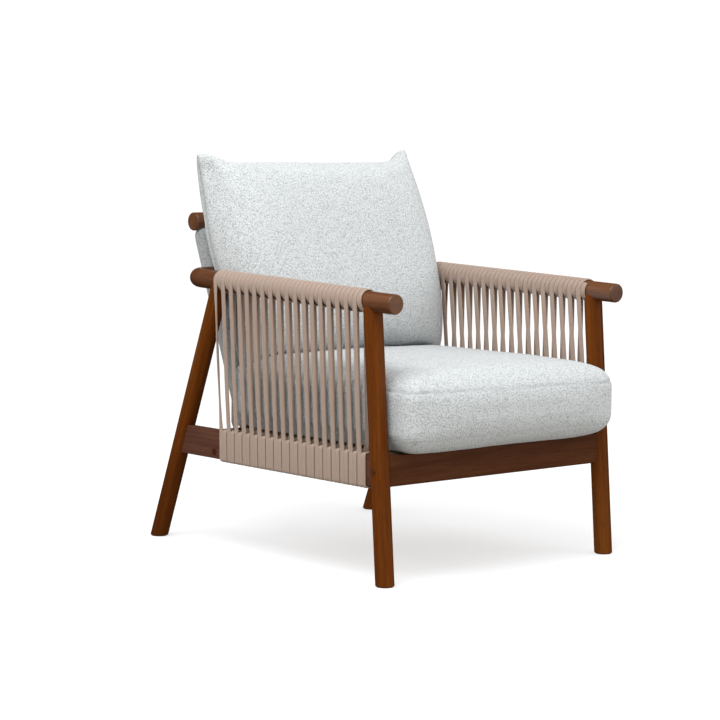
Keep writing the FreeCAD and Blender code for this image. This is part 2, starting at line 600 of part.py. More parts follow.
def slab(low, high, side=0):
    """A box between two heights that is wider than the cord: both sides of the middle, or only the one
    on the side given by its sign."""
    reach = 2 * size("arm_dia")
    left = 0 if side > 0 else -reach
    right = 0 if side < 0 else reach
    depth = 2 * size("arm_straight")
    return Part.makeBox(right - left, depth, high - low, FreeCAD.Vector(left, -depth / 2, low))


NEAR = size("cord_gap")
FAR = NEAR + size("cord_thick")
SHOULDER_Z = size("rail_mid_z") + size("rail_height") / 2
arm_turn = FreeCAD.Rotation(X_AXIS, size("arm_tilt") - 90)
strands = {-1: [], 1: []}
arm_turns = []
rail_turns = []
for i in range(int(size("cord_count"))):
    # one big loop round both rails: over the arm, down each side, and under the side rail
    y = size("cord_first_y") - i * size("cord_pitch")
    z = arm_height(y)
    loop = band(loop_outline(FAR, z), loop_outline(NEAR, z), y)
    arm_turns += loop.common(slab(z, z + size("arm_dia"))).Solids
    rail_turns += loop.common(slab(0, SHOULDER_Z)).Solids
    for face in (-1, 1):
        strands[face] += loop.common(slab(SHOULDER_Z, z, face)).Solids
    if i == 0:
        continue
    # and one full turn round each rail on its own, between this loop and the one before
    y += size("cord_pitch") / 2
    ring = Part.makeCylinder(size("arm_dia") / 2 + FAR, size("cord_width"))
    ring = ring.cut(Part.makeCylinder(size("arm_dia") / 2 + NEAR, size("cord_width")))
    ring.Placement = FreeCAD.Placement(FreeCAD.Vector(0, y - size("cord_width") / 2, arm_height(y)), arm_turn)
    arm_turns.append(ring)
    rail_turns.append(band(rail_outline(FAR), rail_outline(NEAR), y))

for side, sign in SIDES:
    for label, solids in (("outer_strands", strands[sign]), ("inner_strands", strands[-sign]),
                          ("arm_cord_turns", arm_turns), ("rail_cord_turns", rail_turns)):
        cord = doc.addObject("Part::Feature", f"{label}_{side}_cords")
        cord.Shape = Part.makeCompound(solids)
        cord.Placement = FreeCAD.Placement(X_AXIS * (sign * size("leg_offset")), FreeCAD.Rotation())
        finish(cord, f"{label}_{side}")

# ------------------------------------------------------------------ checks and files
doc.recompute()
for obj in doc.Objects:
    if "Invalid" in obj.State or "Error" in obj.State:
        raise RuntimeError(f"{obj.Name} failed to recompute: {obj.State}")
for obj in FINAL:
    if obj.Shape.isNull() or not obj.Shape.isValid() or not obj.Shape.Solids:
        raise RuntimeError(f"{obj.Label} has no valid solid")
box_all = FreeCAD.BoundBox()
for obj in FINAL:
    box_all.add(obj.Shape.BoundBox)
    obj.Shape.exportStep(os.path.join("parts", obj.Label + ".step"))
    print(f"{obj.Label:24s} solids {len(obj.Shape.Solids):3d}  volume {obj.Shape.Volume:12.0f}")
print("overall", [round(value, 2) for value in (box_all.XMin, box_all.XMax, box_all.YMin, box_all.YMax,
                                               box_all.ZMin, box_all.ZMax)])
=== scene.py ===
import math
import random

import bmesh
import bpy
from mathutils import Matrix, Vector, noise
from mathutils.bvhtree import BVHTree


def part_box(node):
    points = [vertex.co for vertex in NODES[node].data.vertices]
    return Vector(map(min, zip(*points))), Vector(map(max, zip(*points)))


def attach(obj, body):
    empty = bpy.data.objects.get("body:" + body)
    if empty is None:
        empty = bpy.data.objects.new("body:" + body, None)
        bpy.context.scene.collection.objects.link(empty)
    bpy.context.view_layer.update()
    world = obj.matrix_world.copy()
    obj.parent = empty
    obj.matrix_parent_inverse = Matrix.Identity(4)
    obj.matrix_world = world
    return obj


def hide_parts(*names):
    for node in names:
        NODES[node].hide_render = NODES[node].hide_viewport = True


# Lounge armchair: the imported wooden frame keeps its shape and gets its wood; the cord, the seat cushion,
# the back cushion and the upholstered back panel are modelled here in place of their plain solids.
# Metres, +Z up, -Y to the chair's front, origin on the floor.

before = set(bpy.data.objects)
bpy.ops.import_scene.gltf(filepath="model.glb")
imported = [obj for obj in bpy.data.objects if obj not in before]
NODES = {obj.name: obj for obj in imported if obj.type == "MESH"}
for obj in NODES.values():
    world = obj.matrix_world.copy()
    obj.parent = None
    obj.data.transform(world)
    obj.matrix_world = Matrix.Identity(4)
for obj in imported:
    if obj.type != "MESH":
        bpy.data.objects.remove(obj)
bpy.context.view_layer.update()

# ------------------------------------------------------------------ dimensions
LEG_X = 0.322                   # half the distance between the middles of the side rails
ARM_RADIUS = 0.021
ARM_FRONT = (-0.4102, 0.5829)   # y and z of the arm rail's axis at its front end
ARM_TILT = math.radians(1.8)
RAIL_Z = 0.2365                 # middle of the side rails
RAIL_HALF = (0.010, 0.0325)     # half their thickness and half their height
BACK_LEAN = math.radians(21.24)
BACK_FOOT = (0.1966, 0.2365)    # y and z where the back's middle plane starts

CORD_WIDTH = 0.0133
CORD_THICK = 0.0044
CORD_LIFT = 0.0025              # from the wood to the middle of the cord
CORD_ARM = ARM_RADIUS + CORD_LIFT     # from the arm's axis to the middle of the cord
CORD_RAIL = RAIL_HALF[0] + CORD_LIFT  # from the rail's middle plane to the middle of the cord
UNITS = 18                      # outer strands on a side
ARM_Y = (0.1705, 0.02810)       # the first outer strand at the arm, and the pitch there
RAIL_Y = (0.162, 0.02794)       # the same at the side rail

QUARTER = math.pi / 2


def arm_height(y):
    """Height of the arm rail's axis at a given depth."""
    return ARM_FRONT[1] + math.tan(ARM_TILT) * (y - ARM_FRONT[0])


def smooth(low, high, value):
    """0 below low, 1 above high, and an eased step between them."""
    t = min(1.0, max(0.0, (value - low) / (high - low)))
    return t * t * (3 - 2 * t)


# ------------------------------------------------------------------ material graphs
class Graph:
    """A material and the short calls that build its nodes."""

    def __init__(self, name, **settings):
        self.material = bpy.data.materials.new(name)
        self.material.use_nodes = True
        self.tree = self.material.node_tree
        self.shader = next(n for n in self.tree.nodes if n.type == "BSDF_PRINCIPLED")
        for socket, value in settings.items():
            self.shader.inputs[socket.replace("_", " ")].default_value = value

    def add(self, kind, outlet=0, props=None, **inputs):
        """Adds a node, sets or links its inputs (by name, or in0, in1 by position), and gives one outlet."""
        made = self.tree.nodes.new("ShaderNode" + kind)
        for key, value in (props or {}).items():
            setattr(made, key, value)
        for key, value in inputs.items():
            position = key[2:] if key.startswith("in") else ""
            socket = made.inputs[int(position)] if position.isdigit() else made.inputs[key.replace("_", " ")]
            if isinstance(value, bpy.types.NodeSocket):
                self.tree.links.new(value, socket)
            else:
                socket.default_value = value
        return made.outputs[outlet]

    def math(self, operation, a, b=0.0, c=0.0, clamp=False):
        return self.add("Math", props={"operation": operation, "use_clamp": clamp}, in0=a, in1=b, in2=c)

    def ramp(self, value, stops):
        """A colour ramp through (position, colour) stops."""
        made = self.tree.nodes.new("ShaderNodeValToRGB")
        elements = made.color_ramp.elements
        while len(elements) < len(stops):
            elements.new(0.5)
        for element, (position, colour) in zip(elements, stops):
            element.position = position
            element.color = (*colour, 1.0)
        self.tree.links.new(value, made.inputs[0])
        return made.outputs[0]

    def mix(self, factor, a, b, blend="MIX"):
        made = self.tree.nodes.new("ShaderNodeMix")
        made.data_type = "RGBA"
        made.blend_type = blend
        for position, value in ((0, factor), (6, a), (7, b)):
            if isinstance(value, bpy.types.NodeSocket):
                self.tree.links.new(value, made.inputs[position])
            elif position:
                made.inputs[position].default_value = (*value, 1.0)
            else:
                made.inputs[position].default_value = value
        return made.outputs[2]

    def stretch(self, scale, turn=(0, 0, 0), offset=(0, 0, 0)):
        """Object coordinates turned, then scaled: a small number stretches the pattern along that axis."""
        place = self.add("TexCoord", outlet=3)
        turned = self.add("VectorRotate", props={"rotation_type": "EULER_XYZ"}, Vector=place, Rotation=turn)
        return self.add("Mapping", Vector=turned, Scale=scale, Location=offset)

    def bump(self, height, distance, strength=1.0):
        self.tree.links.new(self.add("Bump", Height=height, Distance=distance, Strength=strength),
                            self.shader.inputs["Normal"])

    def colour(self, socket):
        self.tree.links.new(socket, self.shader.inputs["Base Color"])

    def roughness(self, socket):
        self.tree.links.new(socket, self.shader.inputs["Roughness"])


def wood(name, tones, turn=(0, 0, 0), offset=(0, 0, 0), rough=0.42, pores=1.0, gloss=0.5):
    """Oiled wood whose grain runs along local Z once the turn is applied. tones: dark, middle, light."""
    g = Graph(name, Specular_IOR_Level=gloss)
    broad = g.add("TexNoise", Vector=g.stretch((11, 11, 0.9), turn, offset), Scale=1.0, Detail=3.0,
                  Roughness=0.55, Distortion=0.6)
    streak = g.add("TexNoise", Vector=g.stretch((150, 150, 4.5), turn, offset), Scale=1.0, Detail=4.0,
                   Roughness=0.62, Distortion=0.25)
    pore = g.add("TexNoise", Vector=g.stretch((950, 950, 38), turn, offset), Scale=1.0, Detail=2.0)
    figure = g.math("ADD", g.math("MULTIPLY", broad, 0.62), g.math("MULTIPLY", streak, 0.38))
    body = g.ramp(figure, [(0.36, tones[0]), (0.50, tones[1]), (0.64, tones[2])])
    dash = g.ramp(pore, [(0.30, (0.45, 0.42, 0.40)), (0.43, (1.0, 1.0, 1.0))])
    g.colour(g.mix(0.75 * pores, body, dash, "MULTIPLY"))
    g.roughness(g.math("MULTIPLY_ADD", streak, 0.22, rough - 0.11))
    g.bump(g.math("ADD", g.math("MULTIPLY", pore, 0.7), g.math("MULTIPLY", streak, 0.3)), 0.00022, 0.55)
    return g.material


# dark, middle and light tone of each set of pieces. The legs', arms' and front and rear rails' walnut sets
# differ partly by painted light, painted shade and painted highlight, as said at each; the side rails' set is
# lighter and greyer
# the legs' lighter set is the lit copy of the walnut: painted light
LEG_PAINTED_LIGHT_TONES = ((0.0662, 0.0144, 0.0004), (0.108, 0.0256, 0.001), (0.1512, 0.0432, 0.0029))
# the arms' set is lighter and pinker, partly the wood's own tone and partly painted highlight on the rounded
# rails
ARM_TONES_AND_PAINTED_HIGHLIGHT = ((0.072, 0.0216, 0.005), (0.1152, 0.0389, 0.0112), (0.1613, 0.0612, 0.0202))
SIDE_TONES = ((0.0605, 0.0223, 0.0122), (0.0878, 0.0346, 0.0209), (0.1166, 0.049, 0.0302))
# the front and rear rails' darker set is the shaded copy of the walnut: painted shade under the seat cushion
RAIL_PAINTED_SHADE_TONES = ((0.0475, 0.0133, 0.0032), (0.0706, 0.0212, 0.0058), (0.0994, 0.0331, 0.0108))
BIRCH_TONES = ((0.3312, 0.2232, 0.1224), (0.4176, 0.3024, 0.18), (0.4752, 0.3672, 0.2376))
LEG_GLOSS = 0.10
ARM_GLOSS = 0.72


def walnut(name, turn=(0, 0, 0), offset=(0, 0, 0), tones=LEG_PAINTED_LIGHT_TONES, gloss=LEG_GLOSS):
    return wood(name, tones, turn, offset, gloss=gloss)


def boucle(name, shade=1.0):
    """A looped wool-like cloth: round curls about 3 mm across with finer ones between them, coloured darker
    where they are low as painted shade between the curls. A shade below 1 darkens the whole cloth as painted
    shade."""
    g = Graph(name, Roughness=0.95, Specular_IOR_Level=0.09, Sheen_Weight=0.16, Sheen_Roughness=0.6)
    place = g.add("TexCoord", outlet=3)
    wander = g.add("TexNoise", outlet=1, Vector=place, Scale=150.0, Detail=2.0)
    shifted = g.add("VectorMath", props={"operation": "MULTIPLY_ADD"}, in0=wander, in1=(0.005, 0.005, 0.005),
                    in2=place)
    curl = g.add("TexVoronoi", Vector=shifted, Scale=330.0)
    fine = g.add("TexVoronoi", Vector=shifted, Scale=760.0)
    cloud = g.add("TexNoise", Vector=place, Scale=75.0, Detail=3.0)
    knot = g.math("SUBTRACT", 1.0, g.math("MULTIPLY", curl, 1.1), clamp=True)
    fuzz = g.math("SUBTRACT", 1.0, fine, clamp=True)
    height = g.math("ADD", g.math("MULTIPLY", knot, 0.65), g.math("MULTIPLY", fuzz, 0.35))
    tone = g.math("MULTIPLY_ADD", cloud, 0.12, height)
    # the colour runs from dark where the curls are low to light on their tops: painted shade in the hollows,
    # with random tone from cloud
    stops = ((0.30, (0.338, 0.353, 0.358)), (0.56, (0.536, 0.556, 0.560)), (0.82, (0.630, 0.647, 0.648)))
    yarn_with_painted_shade = g.ramp(tone, [(at, tuple(shade * part for part in colour)) for at, colour in stops])
    # the cloth is darkened along its seams: painted shade in the seams' grooves
    seam = g.add("Attribute", outlet=2, props={"attribute_name": "seam"})
    g.colour(g.mix(seam, yarn_with_painted_shade, (0.216, 0.223, 0.227)))
    g.bump(height, 0.0024, 0.75)
    return g.material


def braid(name):
    """Flat cord of a few soft ribs side by side, each twisted a little, read from the mesh's own lay."""
    g = Graph(name, Roughness=0.55, Specular_IOR_Level=0.61, Sheen_Weight=0.29, Sheen_Roughness=0.45)
    where = g.add("UVMap", props={"uv_map": "lay"})
    along = g.add("SeparateXYZ", outlet=0, Vector=where)
    across = g.add("SeparateXYZ", outlet=1, Vector=where)
    wobble = g.add("TexNoise", Vector=g.add("TexCoord", outlet=3), Scale=60.0, Detail=2.0)
    rib_at = g.math("MULTIPLY_ADD", wobble, 0.35, g.math("MULTIPLY", across, 5.0 / CORD_WIDTH))
    rib = g.math("ABSOLUTE", g.math("SINE", g.math("MULTIPLY", rib_at, math.pi)))
    turns = g.math("ADD", g.math("MULTIPLY", along, 1500.0), g.math("MULTIPLY", across, 1100.0))
    twist = g.math("MULTIPLY_ADD", g.math("SINE", turns), 0.5, 0.5)
    tuft = g.add("TexNoise", Vector=g.add("TexCoord", outlet=3), Scale=900.0, Detail=2.0)
    height = g.math("ADD", g.math("MULTIPLY", rib, 0.6), g.math("MULTIPLY", twist, 0.15))
    height = g.math("MULTIPLY_ADD", tuft, 0.25, height)
    # the cord is coloured dark low between its ribs and light on their tops: painted shade in the grooves, with
    # random darker tone from wobble
    yarn_with_painted_shade = g.ramp(height, [(0.12, (0.204, 0.131, 0.094)), (0.50, (0.327, 0.228, 0.173)),
                           (1.0, (0.406, 0.305, 0.247))])
    g.colour(g.mix(g.math("MULTIPLY", wobble, 0.3), yarn_with_painted_shade, (0.277, 0.189, 0.142)))
    g.bump(height, 0.0008, 0.7)
    return g.material


def metal(name):
    g = Graph(name, Metallic=1.0)
    scratch = g.add("TexNoise", Vector=g.stretch((400, 400, 30)), Scale=1.0, Detail=3.0)
    g.colour(g.ramp(scratch, [(0.3, (0.42, 0.42, 0.43)), (0.7, (0.62, 0.62, 0.63))]))
    g.roughness(g.math("MULTIPLY_ADD", scratch, 0.2, 0.25))
    return g.material


def moulded(name):
    g = Graph(name, Specular_IOR_Level=0.3)
    grain = g.add("TexNoise", Vector=g.stretch((700, 700, 700)), Scale=1.0, Detail=2.0)
    g.colour(g.ramp(grain, [(0.3, (0.035, 0.031, 0.028)), (0.7, (0.06, 0.054, 0.048))]))
    g.roughness(g.math("MULTIPLY_ADD", grain, 0.2, 0.55))
    g.bump(grain, 0.0002, 0.5)
    return g.material


BOUCLE = boucle("boucle")
# the back panel's cloth is the same bouclé darkened as painted shade, for a panel that lies in shade
BACK_BOUCLE_PAINTED_SHADE = boucle("boucle_back", shade=0.62)
BRAID = braid("braided_cord")
BIRCH_X = wood("birch_across", BIRCH_TONES, (0, -QUARTER, 0), rough=0.6, pores=0.4)
BIRCH_Y = wood("birch_lengthwise", BIRCH_TONES, (QUARTER, 0, 0), rough=0.6, pores=0.4)
STEEL = metal("steel")
GLIDE = moulded("glide_plastic")


def paint(node, material):
    slots = NODES[node].material_slots
    if not slots:
        NODES[node].data.materials.append(material)
    for slot in slots:
        slot.link = "OBJECT"
        slot.material = material


# the turns that lay the grain along each piece
ALONG_Y = (QUARTER, 0, 0)
ALONG_X = (0, -QUARTER, 0)
FRONT_RAKE = (math.radians(4.5), 0, 0)
REAR_RAKE = (math.radians(-21.7), 0, 0)
STILE_LEAN = (math.radians(21.2), 0, 0)
for i, side in enumerate(("left", "right")):
    shift = (0.37 * i, 0.21 * i, 0.0)  # the right side's pieces are cut from another part of the timber
    bend_turn = (QUARTER, 0, math.radians(45 if side == "left" else -45))
    paint(f"arm_{side}", walnut(f"walnut_arm_{side}", ALONG_Y, shift, ARM_TONES_AND_PAINTED_HIGHLIGHT, ARM_GLOSS))
    paint(f"arm_corner_{side}", walnut(f"walnut_corner_{side}", bend_turn, shift, ARM_TONES_AND_PAINTED_HIGHLIGHT, ARM_GLOSS))
    paint(f"front_leg_{side}", walnut(f"walnut_front_leg_{side}", FRONT_RAKE, shift))
    paint(f"rear_leg_{side}", walnut(f"walnut_rear_leg_{side}", REAR_RAKE, shift))
    paint(f"side_rail_{side}", walnut(f"walnut_side_rail_{side}", ALONG_Y, (0.1, 0.3 + i, 0), SIDE_TONES))
    paint(f"back_stile_{side}", walnut(f"walnut_stile_{side}", STILE_LEAN, shift))
# the rails' walnut carries the darker tones of painted shade
walnut_rail = walnut("walnut_rail", ALONG_X, (0.5, 0.2, 0.1), RAIL_PAINTED_SHADE_TONES)
# the round rails take the arms' tones, with their painted highlight
walnut_round = walnut("walnut_round", ALONG_X, (0.1, 0.7, 0.4), ARM_TONES_AND_PAINTED_HIGHLIGHT, ARM_GLOSS)
for node in ("front_apron", "rear_seat_rail", "bolt_caps"):
    paint(node, walnut_rail)
for node in ("arm_back_rail", "back_top_rail"):
    paint(node, walnut_round)
for node in ("slat_cleat_front", "slat_cleat_rear"):
    paint(node, BIRCH_X)
for node in ("seat_slats", "corner_blocks", "leg_dowels", "arm_splice_dowels", "rail_dowels", "stile_dowels"):
    paint(node, BIRCH_Y)
for node in ("slat_screws", "cleat_screws", "corner_block_screws", "frame_bolts", "barrel_nuts", "back_bolts"):
    paint(node, STEEL)
paint("leg_glides", GLIDE)


# ------------------------------------------------------------------ meshes
def new_object(name, verts, faces, material):
    mesh = bpy.data.meshes.new(name)
    mesh.from_pydata(verts, [], faces)
    mesh.validate()
    mesh.update()
    mesh.shade_smooth()
    mesh.materials.append(material)
    made = bpy.data.objects.new(name, mesh)
    bpy.context.scene.collection.objects.link(made)
    return made


def apply_modifiers(obj):
    """Bake the object's modifiers into its mesh."""
    depsgraph = bpy.context.evaluated_depsgraph_get()
    baked = bpy.data.meshes.new_from_object(obj.evaluated_get(depsgraph))
    old = obj.data
    obj.modifiers.clear()
    obj.data = baked
    bpy.data.meshes.remove(old)
    baked.shade_smooth()


def subdivide(obj, levels):
    obj.modifiers.new("subdivision", "SUBSURF").levels = levels
    apply_modifiers(obj)


def inflate(obj, cap_of, pressure, frames, stiffness, bending, shrink=0.0):
    """Blow up a closed mesh as cloth with no gravity, and keep the shape it reaches, except that no vertex
    moves further than cap_of gives for its index."""
    scene = bpy.context.scene
    start = [v.co.copy() for v in obj.data.vertices]
    cloth = obj.modifiers.new("cloth", "CLOTH")
    settings = cloth.settings
    settings.quality = 6
    settings.mass = 0.35
    settings.tension_stiffness = stiffness
    settings.compression_stiffness = stiffness
    settings.shear_stiffness = stiffness * 0.5
    settings.bending_stiffness = bending
    settings.air_damping = 4.0
    settings.use_pressure = True
    settings.uniform_pressure_force = pressure
    settings.shrink_min = shrink
    settings.effector_weights.gravity = 0.0
    cloth.point_cache.frame_end = frames
    for frame_number in range(1, frames + 1):
        scene.frame_set(frame_number)
    apply_modifiers(obj)
    scene.frame_set(1)
    for vertex, origin in zip(obj.data.vertices, start):
        move = vertex.co - origin
        cap = cap_of(vertex.index)
        if move.length > cap:
            vertex.co = origin + move.normalized() * cap


def set_seam_shade(obj, depth_of):
    """Store how strongly each vertex belongs to a seam, for the cloth's material, which darkens it there as
    painted shade in the groove.
    """
    layer = obj.data.attributes.new("seam", "FLOAT", "POINT")
    for vertex in obj.data.vertices:
        layer.data[vertex.index].value = depth_of(vertex.co)


# ------------------------------------------------------------------ cord sides
STRAND_STEPS = 16
LAP_STEPS = 36                       # on the cord's one and a half turns round the arm
START_STEPS = 18
START_ANGLE = -0.62 * math.pi        # where the cord starts round the arm: below, on the inner side
START_DRIFT = 0.003                  # how far behind the first strand it starts
FIRST_TWIST = math.radians(52)
RAIL_BEND = 0.0055                   # radius of the cord's bends round the rail's corners
BEND_STEPS = 4
RIBBON_STOPS = (-1.0, -0.93, -0.6, 0.0, 0.6, 0.93, 1.0)  # points across the cord, from edge to edge
RIBBON_EDGE = 2.3                    # a larger number gives a flatter cord with tighter edges


def rail_ring():
    """Points and outward directions once round the side rail, from the outer top corner, down the outer
    face, under, and up the inner face."""
    half_x = CORD_RAIL - RAIL_BEND
    half_z = RAIL_HALF[1] + CORD_LIFT - RAIL_BEND
    ring = []
    for turn, (sx, sz) in enumerate(((1, 1), (1, -1), (-1, -1), (-1, 1))):
        for step in range(BEND_STEPS + 1):
            angle = QUARTER * (1 - turn) - QUARTER * step / BEND_STEPS
            out = Vector((math.cos(angle), 0, math.sin(angle)))
            ring.append((Vector((sx * half_x, 0, sz * half_z)) + out * RAIL_BEND, out))
    return ring


def cord_path(rng):
    """The cord's line on one side, as (outward, y, z) points with the direction that faces out of the rail
    and a twist in radians. It runs down the outer side, round the side rail one and a half times, up the
    inner side, and round the arm one and a half times, then starts again."""
    ring = rail_ring()
    path = []

    def put(outward, y, z, facing, twist=0.0):
        path.append((Vector((outward, y, z)), facing, twist))

    def strand(start, end, side, twist):
        wander = rng.uniform(-0.0006, 0.0006)
        bow = rng.uniform(-0.0002, 0.0012)
        for step in range(1, STRAND_STEPS):
            t = step / STRAND_STEPS
            belly = math.sin(math.pi * t)
            spot = start.lerp(end, t)
            put(spot.x + side * bow * belly, spot.y + wander * belly, spot.z, Vector((side, 0, 0)),
                twist * belly)

    def round_arm(y, angle):
        out = Vector((math.cos(angle), 0, math.sin(angle)))
        put(CORD_ARM * out.x, y, arm_height(y) + CORD_ARM * out.z, out)

    # the cord starts under the arm rail, in front of the rear leg's joint, and comes up the inner side and over
    for step in range(START_STEPS):
        share = step / START_STEPS
        round_arm(ARM_Y[0] + START_DRIFT * (1 - share), START_ANGLE - (2 * math.pi + START_ANGLE) * share)

    arm_step = ARM_Y[1] / 4
    rail_step = RAIL_Y[1] / 4
    for k in range(UNITS):
        arm_y = ARM_Y[0] - ARM_Y[1] * k
        rail_y = RAIL_Y[0] - RAIL_Y[1] * k
        jitter = rng.uniform(-0.0005, 0.0005)
        top = Vector((CORD_ARM, arm_y + jitter, arm_height(arm_y)))
        foot = Vector((CORD_RAIL, rail_y, RAIL_Z + RAIL_HALF[1]))
        twist = FIRST_TWIST if k == 0 else math.radians(rng.uniform(-5, 5))
        strand(top, foot, 1, twist)
        # down the outer face, under, up inside, over, down, under, and up inside again
        laps = ring[3:] + ring
        count = len(laps) - 3
        for i, (spot, out) in enumerate(laps[:count + 1]):
            put(spot.x, rail_y - 3 * rail_step * i / count, RAIL_Z + spot.z, out)
        # wound by hand: on the inner side the first strands stand back, and the rest a little forward
        settle = RAIL_Y[1] * (0.50 * math.exp(-k) - 0.12)
        inner_foot = Vector((-CORD_RAIL, rail_y - 3 * rail_step + settle, RAIL_Z + RAIL_HALF[1]))
        inner_top = Vector((-CORD_ARM, arm_y - arm_step, arm_height(arm_y)))
        strand(inner_foot, inner_top, -1, math.radians(rng.uniform(-5, 5)))
        for i in range(LAP_STEPS + 1):
            share = i / LAP_STEPS
            if k == UNITS - 1 and share > 0.75:
                break
            round_arm(arm_y - arm_step - 3 * arm_step * share, math.pi - 3 * math.pi * share)
    return path


def cord_mesh(name, sign, seed):
    """One side's cord as one flat ribbon with rounded edges swept along its path."""
    rng = random.Random(seed)
    path = [(Vector((sign * (LEG_X + p.x), p.y, p.z)), Vector((sign * out.x, out.y, out.z)), twist)
            for p, out, twist in cord_path(rng)]
    section = []
    for side in (1, -1):
        for t in RIBBON_STOPS:
            lift = CORD_THICK / 2 * math.sqrt(max(0.0, 1 - abs(t) ** RIBBON_EDGE))
            if side == 1 or abs(t) < 1:
                section.append((side * t * CORD_WIDTH / 2, side * lift))
    verts = []
    lay = []
    travelled = 0.0
    for i, (spot, out, twist) in enumerate(path):
        ahead = path[min(i + 1, len(path) - 1)][0]
        behind = path[max(i - 1, 0)][0]
        tangent = (ahead - behind).normalized()
        travelled += (spot - path[i - 1][0]).length if i else 0.0
        normal = (out - tangent * out.dot(tangent)).normalized()
        across = tangent.cross(normal)
        if twist:
            spin = Matrix.Rotation(twist, 3, tangent)
            normal = spin @ normal
            across = spin @ across
        for a, n in section:
            verts.append(spot + across * a + normal * n)
            lay.append((travelled, a))
    size = len(section)
    faces = []
    for i in range(len(path) - 1):
        for j in range(size):
            a = i * size + j
            b = i * size + (j + 1) % size
            faces.append((a, b, b + size, a + size))
    last = (len(path) - 1) * size
    faces.append(tuple(range(size - 1, -1, -1)))
    faces.append(tuple(last + j for j in range(size)))
    made = new_object(name, verts, faces, BRAID)
    uv = made.data.uv_layers.new(name="lay")
    for loop in made.data.loops:
        uv.data[loop.index].uv = lay[loop.vertex_index]
    return made


for side, sign, seed in (("left", -1, 11), ("right", 1, 23)):
    cord = cord_mesh(f"wound_cord_{side}", sign, seed)
    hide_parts(f"outer_strands_{side}", f"inner_strands_{side}", f"arm_cord_turns_{side}",
                f"rail_cord_turns_{side}")
    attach(cord, "frame")


# ------------------------------------------------------------------ seat cushion
SEAT_LOW, SEAT_HIGH = (Vector(corner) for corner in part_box("seat_cushion"))
SEAT_SEAMS = (0.402, 0.301)          # heights of the border's two seams at the left end
SEAM_DROP = 0.011                    # how much lower the upper one is at the right end
SEAM_HALF = 0.0032
SEAM_GROOVE = 0.0016
BORDER = 0.030                       # how far in from the cushion's sides a seam may lie
APRON_Y = (-0.378, -0.41)            # from here to here the cushion sags a little over the front apron
SEAT_CROWN = 0.012
SEAT_BULGE = (0.003, 0.006)          # of the sides, and of the front and back
SEAT_CAP = 0.007                     # how far the cloth may move


def rounded_box(name, low, high, plan_radius, edge_radius, pitch, material):
    """A box of square faces about one pitch wide. plan_radius rounds its upright corners and edge_radius
    rolls its top and bottom edges over."""
    half = (high - low) / 2
    centre = (high + low) / 2
    steps = [max(2, round(2 * h / pitch)) for h in half]
    index = {}
    verts = []
    faces = []

    def vertex(cell):
        if cell not in index:
            u, v, w = (2 * cell[a] / steps[a] - 1 for a in range(3))
            rise = abs(w) * half.z
            into = max(0.0, (rise - (half.z - edge_radius)) / edge_radius)
            inset = edge_radius * (1 - math.cos(into * QUARTER))
            height = rise if into == 0 else half.z - edge_radius + edge_radius * math.sin(into * QUARTER)
            reach = Vector((half.x - inset, half.y - inset))
            p = Vector((u * reach.x, v * reach.y))
            core = Vector([max(plan_radius - reach[a], min(reach[a] - plan_radius, p[a])) for a in range(2)])
            out = p - core
            if out.length > 1e-9:
                p = core + out.normalized() * max(abs(out.x), abs(out.y))
            index[cell] = len(verts)
            verts.append(centre + Vector((p.x, p.y, math.copysign(height, w))))
        return index[cell]

    for axis in range(3):
        u, v = [a for a in range(3) if a != axis]
        for end in (0, steps[axis]):
            for i in range(steps[u]):
                for j in range(steps[v]):
                    ring = []
                    for du, dv in ((0, 0), (1, 0), (1, 1), (0, 1)):
                        cell = [0, 0, 0]
                        cell[axis] = end
                        cell[u] = i + du
                        cell[v] = j + dv
                        ring.append(vertex(tuple(cell)))
                    outward = (end > 0) == (axis != 1)
                    faces.append(tuple(ring if outward else reversed(ring)))
    return new_object(name, verts, faces, material)


def seam_heights(x):
    """Heights of the seat cushion's two seams along its border."""
    upper, lower = SEAT_SEAMS
    return upper - SEAM_DROP * (x - SEAT_LOW.x) / (SEAT_HIGH.x - SEAT_LOW.x), lower


